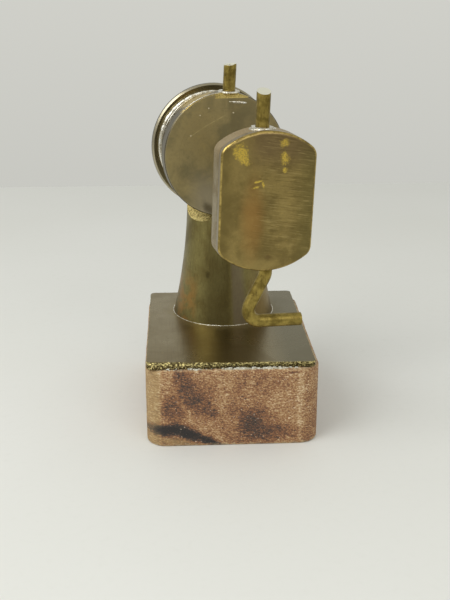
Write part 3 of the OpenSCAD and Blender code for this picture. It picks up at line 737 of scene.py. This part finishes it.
def outline(half_x, half_y, r, count):
    """Evenly spaced points round a rounded rectangle, each with its outward direction."""
    sides = [2 * (half_y - r), math.pi * r / 2, 2 * (half_x - r), math.pi * r / 2]
    total = 2 * sum(sides)
    made = []
    for i in range(count):
        s = total * i / count
        leg = 0
        while s > sides[leg % 4]:
            s -= sides[leg % 4]
            leg += 1
        quarter = leg // 2
        base = math.radians(90 * quarter)
        along = Vector((-math.sin(base), math.cos(base), 0))
        out = Vector((math.cos(base), math.sin(base), 0))
        reach, run = (half_x, half_y) if quarter % 2 == 0 else (half_y, half_x)
        corner = out * (reach - r) + along * (run - r)
        if leg % 2 == 0:
            made.append((out * reach + along * (s - (run - r)), out))
        else:
            turned = Matrix.Rotation(s / r, 3, "Z") @ out
            made.append((corner + turned * r, turned))
    return made


def hole_ring(points, centre, radius, z):
    """A ring round a hole, its points in line with those of an outline."""
    ring = []
    for p, _ in points:
        away = Vector((p.x - centre.x, p.y - centre.y, 0)).normalized()
        ring.append(Vector((centre.x, centre.y, 0)) + away * radius + UP * z)
    return ring


def between(a, b, share):
    """A ring part of the way from one ring to another."""
    return [p.lerp(q, share) for p, q in zip(a, b)]


# ---- wooden block ----

CORNER_R = 4.0  # upright corners
CHIP = 0.75  # rounding of the top edge
FOOT_CHIP = 0.4  # rounding of the bottom edge
EDGE_POINTS = 720
STUD_GAP = 0.1
WASHER_GAP = 0.7
half = Vector(((block_high.x - block_low.x) / 2, (block_high.y - block_low.y) / 2, block_high.z))
stud_low, stud_high = box("tie_stud")
washer_low, washer_high = box("stud_washer")
stud_hole = (stud_high.x - stud_low.x) / 2 + STUD_GAP
counterbore = (washer_high.x - washer_low.x) / 2 + WASHER_GAP
edge = outline(half.x, half.y, CORNER_R, EDGE_POINTS)


def wood_ring(z, inset, rough):
    """One level round the block, dented by wear."""
    ring = []
    for p, out in edge:
        here = Vector((p.x, p.y, z))
        dent = 0.03 + rough * (0.5 + 0.5 * wobble(here, 5.0)) + 0.4 * rough * abs(wobble(here, 0.7))
        ring.append(here - out * (inset + dent))
    return ring


top = half.z
rows = [hole_ring(edge, COLUMN, stud_hole, top)]
inner_top = wood_ring(top, 1.2, 0.0)
rows += [between(rows[0], inner_top, t) for t in (0.35, 0.7)] + [inner_top]
for k in range(7):
    a = math.radians(15 * k)
    drop, inset = CHIP * (1 - math.cos(a)), CHIP * (1 - math.sin(a))
    rows.append(wood_ring(top - drop, inset, 0.12 * (1.6 - 0.1 * k)))
steps = 40
for k in range(1, steps):
    rows.append(wood_ring(top - CHIP - (top - CHIP - 0.45) * k / steps, 0.0, 0.1))
for k in range(6):
    a = math.radians(18 * k)
    rise, inset = FOOT_CHIP * (1 - math.sin(a)), FOOT_CHIP * (1 - math.cos(a))
    rows.append(wood_ring(rise, inset, 0.12 * (1 - 0.2 * k)))
bottom = wood_ring(0.0, 1.2, 0.0)
rim = hole_ring(edge, COLUMN, counterbore, 0.0)
rows += [bottom, between(bottom, rim, 0.5), rim]
rows += [hole_ring(edge, COLUMN, r, washer_high.z) for r in (counterbore, stud_hole)]
add("wood_base", loft(rows, wrap=True), WOOD, "frame", ["wood_block"], 60)


# ---- bed plate: a sheet with a torn front edge ----

SHEET_CORNER_R = 1.0
SHEET_POINTS = 1400
z0, z1 = plate_low.z, plate_high.z
sheet_middle = (plate_low + plate_high) / 2
sheet_middle.z = 0
sheet_half = (plate_high - plate_low) / 2
sheet_outline = outline(sheet_half.x, sheet_half.y, SHEET_CORNER_R, SHEET_POINTS)
sheet = [(p + sheet_middle, out) for p, out in sheet_outline]


def sheet_ring(z, inset, tear):
    """One level round the sheet. Its front is filed back toward the top, most on the left."""
    level = max(0.0, (z - z0) / (z1 - z0))
    ring = []
    for p, out in sheet:
        here = Vector((p.x, p.y, z))
        front = max(0.0, min(1.0, (-out.y - 0.2) / 0.5))
        left = max(0.0, min(1.0, -p.x / 14))
        reach = max(0.0, min(1.0, (plate_low.y + 2.5 - p.y) / 1.5))
        here.y += reach * (0.1 + 1.1 * left) * level
        strength = tear * (0.25 + 0.75 * front)
        bite = abs(wobble(here, 0.55, 3)) * 0.55 + max(0.0, wobble(here, 2.4, 3)) * 0.5
        lift = UP * (wobble(here + RIGHT * 40, 0.5, 3) * 0.12 * strength * 2)
        ring.append(here - out * (inset + strength * bite) + lift)
    return ring


rows = [hole_ring(sheet, COLUMN, stud_hole, z0)]
under = sheet_ring(z0, 1.0, 0.0)
rows += [between(rows[0], under, 0.5), under]
for share, inset, tear in (
    (0.0, 0.16, 0.3),
    (0.06, 0.06, 0.42),
    (0.2, 0.0, 0.5),
    (0.36, 0.02, 0.42),
    (0.52, 0.05, 0.36),
    (0.68, 0.02, 0.34),
    (0.82, 0.0, 0.3),
    (0.93, 0.03, 0.24),
    (1.0, 0.1, 0.2),
):
    rows.append(sheet_ring(z0 + (z1 - z0) * share, inset, tear))
for inset in (0.3, 0.7, 1.0):
    rows.append(sheet_ring(z1, inset, 0.0))
hole = hole_ring(sheet, COLUMN, stud_hole, z1)
rows += [between(rows[-1], hole, t) for t in (0.3, 0.65)] + [hole]
add("bed_sheet", loft(rows, wrap=True), PLATE, "frame", ["bed_plate"], 35)

# slivers of torn brass and solder that hang over the wood along the front
burrs = bmesh.new()
dice = random.Random(11)
front_y = plate_low.y
for k in range(150):
    x = dice.uniform(-12.6, 13.4)
    if dice.random() > (0.95 if -2.0 < x < 11.5 else 0.4):
        continue
    size = 1.7 if -1.0 < x < 11.5 else 1.0
    wide = dice.uniform(0.12, 0.5) * size
    drop = dice.uniform(0.1, 0.42) * size
    z = z0 + dice.uniform(-0.02, 0.3)
    y = front_y + dice.uniform(0.01, 0.1)
    lean = dice.uniform(-0.25, 0.25)
    corners = [
        Vector((x - wide / 2, y + 0.02, z)),
        Vector((x + wide / 2, y + 0.02, z + dice.uniform(-0.06, 0.06))),
        Vector((x + wide * 0.25 + lean, y, z - drop)),
        Vector((x - wide * 0.3 + lean, y + 0.01, z - drop * dice.uniform(0.6, 1.0))),
        Vector((x + lean * 0.4, y + 0.26, z - drop * 0.3)),
    ]
    a, b, c, d, e = [burrs.verts.new(p * MM) for p in corners]
    for loop in ((a, b, c, d), (b, a, e), (c, b, e), (d, c, e), (a, d, e)):
        burrs.faces.new(loop)
add("edge_burrs", burrs, SOLDER, "frame", (), 20)


# ---- head and guide pin: the CAD pieces with rounded corners and a slanted cut ----

HEAD_CORNER_R = 2.2
FLAT_STEPS, CORNER_STEPS, ARC_STEPS = 22, 8, 40


def arc_points(u, v, r, first, sweep, steps):
    """Points along an arc round a centre, the end point left to what follows."""
    angles = [first + sweep * k / steps for k in range(steps)]
    return [(u + r * math.cos(a), v + r * math.sin(a)) for a in angles]


def slice_ring(back, inset=0.0):
    """A ring of the head's outline: a circle cut by two flats, its four corners rounded."""
    r, half_width = HEAD_R - inset, HEAD_HALF - inset
    f = max(0.2, HEAD_CORNER_R - inset)
    centre_u = half_width - f
    centre_v = math.sqrt((r - f) ** 2 - centre_u**2)
    tilt = math.atan2(centre_v, centre_u)
    path = []
    for turn in (0.0, math.pi):
        facing = math.cos(turn)
        flat_side = [
            (half_width, -centre_v + 2 * centre_v * k / FLAT_STEPS) for k in range(FLAT_STEPS)
        ]
        corner_a = arc_points(centre_u, centre_v, f, 0.0, tilt, CORNER_STEPS)
        arc = arc_points(0.0, 0.0, r, tilt, math.pi - 2 * tilt, ARC_STEPS)
        corner_b = arc_points(-centre_u, centre_v, f, math.pi - tilt, tilt, CORNER_STEPS)
        path += [(facing * u, facing * v) for u, v in flat_side + corner_a + arc + corner_b]
    return [HEAD_C + HEAD_RIGHT * u + HEAD_UP * v + BACK * back for u, v in path]


def trimmed(name, node, cutter, material, body):
    """A CAD piece cut down to the part of it inside a closed shape."""
    shape = bpy.data.meshes.new("cutter")
    bmesh.ops.recalc_face_normals(cutter, faces=cutter.faces)
    cutter.to_mesh(shape)
    cutter.free()
    tool = bpy.data.objects.new("cutter", shape)
    blank = bpy.data.objects.new("blank", nodes[node].data.copy())
    for item in (tool, blank):
        bpy.context.scene.collection.objects.link(item)
    cut = blank.modifiers.new("cut", "BOOLEAN")
    cut.operation, cut.solver, cut.object = "INTERSECT", "EXACT", tool
    graph = bpy.context.evaluated_depsgraph_get()
    cut_mesh = bpy.data.meshes.new_from_object(blank.evaluated_get(graph))
    bm = bmesh.new()
    bm.from_mesh(cut_mesh)
    for item in (tool, blank):
        bpy.data.objects.remove(item)
    bmesh.ops.dissolve_degenerate(bm, dist=1e-7, edges=bm.edges)
    return add(name, bm, material, body, [node], 32)


face_t = FACE_BACK - FACE_FRONT
head_t = HEAD_BACK - FACE_FRONT
shell = [
    slice_ring(face_t - 0.2),
    slice_ring(head_t - 0.3),
    slice_ring(head_t - 0.12, 0.1),
    slice_ring(head_t - 0.001, 0.32),
]
trimmed("head_shell", "head_body", loft(shell), finishes["head_brass"], "frame")

# the face plate, its front edge rounded over by hand
BEVEL_DEEP, BEVEL_WIDE = 0.55, 0.72
rings = [slice_ring(face_t - 0.005, 0.04), slice_ring(face_t - 0.06, 0.0)]
for k in range(9):
    a = math.radians(90 * k / 8)
    worn = []
    for p in slice_ring(BEVEL_DEEP * (1 - math.sin(a)), BEVEL_WIDE * (1 - math.cos(a))):
        inward = (HEAD_C - p).normalized()
        worn.append(p + inward * 0.05 * abs(wobble(p, 2.0, 3)) * math.sin(a))
    rings.append(worn)
add("head_cover", loft(rings), finishes["face_brass"], "frame", ["face_plate"], 50)

# the guide pin, sawn off at a slant that looks toward the front
SAW_SLANT = math.radians(21)
SAW_LEAN = 0.04
rod_top = span("guide_rod", HEAD_UP, HEAD_C)[1]
rod_left, rod_right = span("guide_rod", HEAD_RIGHT, HEAD_C)
rod_front, rod_back = span("guide_rod", BACK, HEAD_C)
slant = []
for u in (rod_left - 1, rod_right + 1):
    for w in (rod_front - 1, rod_back + 1):
        drop = (rod_back - w) * math.tan(SAW_SLANT) - (u - rod_right) * SAW_LEAN
        slant.append((u, w, rod_top - 0.02 - drop))
a, b, c, d = slant
above = [HEAD_C + HEAD_RIGHT * u + BACK * w + HEAD_UP * v for u, w, v in (a, c, d, b)]
below = [HEAD_C + HEAD_RIGHT * u + BACK * w + HEAD_UP * (rod_top - 30) for u, w, v in (a, c, d, b)]
trimmed("guide_pin", "guide_rod", loft([below, above]), finishes["rod_brass"], "bar")


# ---- rings and beads of solder ----


def ring_bead(
    name, centre, axis, side, radius, thick, squash, ragged, count, seed, *,
    arc=None, lift=None, weight=None,
):
    """A lumpy fillet of solder round an axis: a torus whose section swells and thins.

    arc gives its first and last degree, lift moves each point of the circle, and weight scales
    the thickness by the turn.
    """
    axis, side = axis.normalized(), side.normalized()
    third = axis.cross(side)
    first, last = arc or (0.0, 360.0)
    closed = arc is None
    rings = []
    for i in range(count + (0 if closed else 1)):
        turn = math.radians(first + (last - first) * i / count)
        out = side * math.cos(turn) + third * math.sin(turn)
        spot = centre + out * radius
        if lift is not None:
            spot = lift(spot, out)
        swell = 1 + ragged * wobble(spot + Vector((seed, 0, 0)), 0.8, 3)
        if weight is not None:
            swell *= weight(turn)
        if not closed:
            swell *= max(0.08, math.sin(math.pi * i / count)) ** 0.5
        section = []
        for k in range(12):
            a = 2 * math.pi * k / 12
            rise = axis * math.sin(a) * thick * squash * swell
            section.append(spot + out * math.cos(a) * thick * swell + rise)
        rings.append(section)
    return add(name, loft(rings, wrap=closed), SOLDER, "frame", (), 60)


# foot of the column
ring_bead("foot_solder", COLUMN + UP * 0.02, UP, RIGHT, FOOT_R + 0.14, 0.1, 0.7, 0.6, 260, 3)

# foot of the guide rod, round its bush on the head's top
bush_right = sum(span("upper_bar_bush", HEAD_RIGHT)) / 2
bush_back = sum(span("upper_bar_bush", BACK)) / 2
bush_top = span("upper_bar_bush", HEAD_UP)[1]
bush_r = (span("upper_bar_bush", HEAD_RIGHT)[1] - span("upper_bar_bush", HEAD_RIGHT)[0]) / 2
bush_at = HUB + HEAD_RIGHT * bush_right + BACK * bush_back


def on_head(spot, out):
    """Drops a point to the head's rounded top."""
    u = (spot - HEAD_C).dot(HEAD_RIGHT)
    rise = math.sqrt(HEAD_R * HEAD_R - u * u)
    return spot + HEAD_UP * (rise - (spot - HEAD_C).dot(HEAD_UP))


ring_bead(
    "rod_solder", bush_at + HEAD_UP * bush_top, HEAD_UP, HEAD_RIGHT,
    bush_r + 0.12, 0.24, 0.8, 0.55, 90, 8, lift=on_head,
)

# foot of the spool pin
PIN_LEAN = math.radians(3)
PIN_RIGHT = 1.2  # where it stands, right of the hub
PIN_SUNK = 0.25  # its seat below the top of the drum
pin_axis = (UP * math.cos(PIN_LEAN) + RIGHT * math.sin(PIN_LEAN)).normalized()
pin_back = sum(span("spool_pin", BACK)) / 2
pin_seat = HUB + RIGHT * PIN_RIGHT + BACK * pin_back + UP * (DISC_R - PIN_SUNK)
pin_r = (span("spool_pin", BACK)[1] - span("spool_pin", BACK)[0]) / 2
pin_foot = pin_seat + pin_axis * 0.12
ring_bead("pin_solder", pin_foot, pin_axis, RIGHT, pin_r + 0.4, 0.5, 0.6, 0.4, 90, 5)

# a bead on the drum's face under the filed flat
rings = []
for i in range(25):
    t = i / 24
    u = 0.75 + 3.6 * t
    v = 10.42 - 0.3 * t
    fat = math.sin(math.pi * t) ** 0.6
    spot = HUB + RIGHT * u + UP * v + BACK * (DISC_FRONT + 0.02)
    high = 0.26 * fat * (1 + 0.2 * wobble(spot, 0.6, 3)) + 0.01
    section = []
    for k in range(14):
        a = 2 * math.pi * k / 14
        section.append(spot + UP * math.cos(a) * high - BACK * math.sin(a) * min(0.16, high * 0.7))
    rings.append(section)
add("face_bead", loft(rings), SOLDER, "frame", (), 60)

# a thin line of solder where the drum meets the column's filed shoulder
ring_bead(
    "neck_solder", HUB + BACK * (DISC_FRONT + 0.1), BACK, RIGHT,
    DISC_R + 0.02, 0.1, 1.0, 0.5, 80, 9, arc=(-132, -92),
)

# the fillet behind the drum
UPPER_LEFT = math.radians(-146)


def upper_left(turn):
    """Full thickness at the upper left of the drum, hardly any round the rest."""
    return 0.12 + 0.88 * max(0.0, math.cos(turn - UPPER_LEFT)) ** 2


ring_bead(
    "cover_solder", HUB + BACK * (COVER_BACK - 0.3), BACK, RIGHT,
    BARREL_R + 0.1, 0.5, 1.0, 0.2, 300, 4, weight=upper_left,
)


# ---- rough-cut spool pin ----


def rod_rings(base, axis, side, radius, stations, rough, seed, count=56):
    """Rings of a dented rod. Each station is (height, share of the radius, slant)."""
    third = axis.cross(side)
    rings = []
    for height, share, slant in stations:
        ring = []
        for i in range(count):
            a = 2 * math.pi * i / count
            out = side * math.cos(a) + third * math.sin(a)
            spot = base + axis * height + out * radius * share
            dent = rough * abs(wobble(spot + Vector((seed, 0, 0)), 0.8, 4))
            rise = slant * math.cos(a - 0.6)
            rise += slant * 0.5 * wobble(spot + Vector((0, seed, 0)), 0.7, 3)
            ring.append(spot - out * dent * share + axis * (rise - abs(slant)))
        rings.append(ring)
    return rings


PIN_LENGTH = 5.55
stations = [(-1.7, 0.1, 0), (-1.7, 0.7, 0), (0.02, 0.72, 0), (0.04, 1.0, 0)]
stations += [(0.04 + (PIN_LENGTH - 0.4) * k / 26, 1.0, 0) for k in range(1, 27)]
for below_top, share, slant in (
    (0.12, 0.99, 0.1),
    (0.0, 0.93, 0.16),
    (0.02, 0.8, 0.18),
    (0.1, 0.5, 0.16),
    (0.06, 0.15, 0.1),
):
    stations.append((PIN_LENGTH - below_top, share, slant))
spool_rod = loft(rod_rings(pin_seat, pin_axis, RIGHT, pin_r, stations, 0.09, 20))
add("spool_rod", spool_rod, ROD, "frame", ["spool_pin"], 40)


# ---- floor, light and camera ----

FLOOR_HALF_X, FLOOR_HALF_Y, FLOOR_MIDDLE_Y = 700, 456, -244
floor = bmesh.new()
bmesh.ops.create_grid(floor, x_segments=24, y_segments=24, size=1)
for v in floor.verts:
    v.co = Vector((v.co.x * FLOOR_HALF_X, FLOOR_MIDDLE_Y + v.co.y * FLOOR_HALF_Y, 0)) * MM
add("floor", floor, floor_material(), None)

# a plain studio: the wall ahead of the camera is lighter than the room behind it, and it is a
# little dimmer below the horizon
world = bpy.data.worlds.new("studio")
bpy.context.scene.world = world
world.use_nodes = True
tree = world.node_tree
tree.nodes.clear()
sky = tree.nodes.new("ShaderNodeBackground")
place = tree.nodes.new("ShaderNodeTexCoord")
split = tree.nodes.new("ShaderNodeSeparateXYZ")
tree.links.new(place.outputs["Generated"], split.inputs[0])
ahead = tree.nodes.new("ShaderNodeMapRange")
ahead.interpolation_type = "SMOOTHSTEP"
for socket, value in zip(ahead.inputs[1:5], (-0.9, 0.1, 1.0, 0.0)):
    socket.default_value = value
tree.links.new(split.outputs[1], ahead.inputs[0])
rise = tree.nodes.new("ShaderNodeMapRange")
for socket, value in zip(rise.inputs[1:5], (-0.2, 0.05, 0.9, 1.0)):
    socket.default_value = value
tree.links.new(split.outputs[2], rise.inputs[0])
tone = tree.nodes.new("ShaderNodeMix")
tone.data_type = "RGBA"
tree.links.new(ahead.outputs[0], tone.inputs["Factor"])
wall, room = [s for s in tone.inputs if s.type == "RGBA"]
wall.default_value = (0.645, 0.645, 0.6, 1)
room.default_value = (0.4, 0.39, 0.37, 1)
tree.links.new([s for s in tone.outputs if s.type == "RGBA"][0], sky.inputs["Color"])
tree.links.new(rise.outputs[0], sky.inputs["Strength"])
done = tree.nodes.new("ShaderNodeOutputWorld")
tree.links.new(sky.outputs[0], done.inputs["Surface"])


def softbox(name, place, size, power, target=(0, 0, 30)):
    """A soft area light aimed at the model."""
    light = bpy.data.lights.new(name, "AREA")
    light.shape = "RECTANGLE"
    light.size, light.size_y = size[0] * MM, size[1] * MM
    light.energy = power
    light.color = (1.0, 1.0, 0.99)
    lamp = bpy.data.objects.new(name, light)
    lamp.location = Vector(place) * MM
    lamp.rotation_euler = (Vector(target) - Vector(place)).to_track_quat("-Z", "Y").to_euler()
    bpy.context.scene.collection.objects.link(lamp)


softbox("key", (-240, -170, 330), (260, 260), 0.85)
softbox("fill", (120, -330, 300), (300, 200), 0.36)

CAMERA_AT = Vector((-10.04, -177.25, 85.1))
LOOK_DOWN, LOOK_ASIDE = 19.5, -3.1  # degrees
camera_data = bpy.data.cameras.new("camera")
camera_data.sensor_width = 36
camera_data.lens = 54.9
camera_data.clip_start, camera_data.clip_end = 0.01, 10
camera = bpy.data.objects.new("camera", camera_data)
camera.location = CAMERA_AT * MM
camera.rotation_euler = (math.radians(90 - LOOK_DOWN), 0, math.radians(LOOK_ASIDE))
bpy.context.scene.collection.objects.link(camera)
bpy.context.scene.camera = camera
bpy.context.scene.view_settings.view_transform = "Standard"
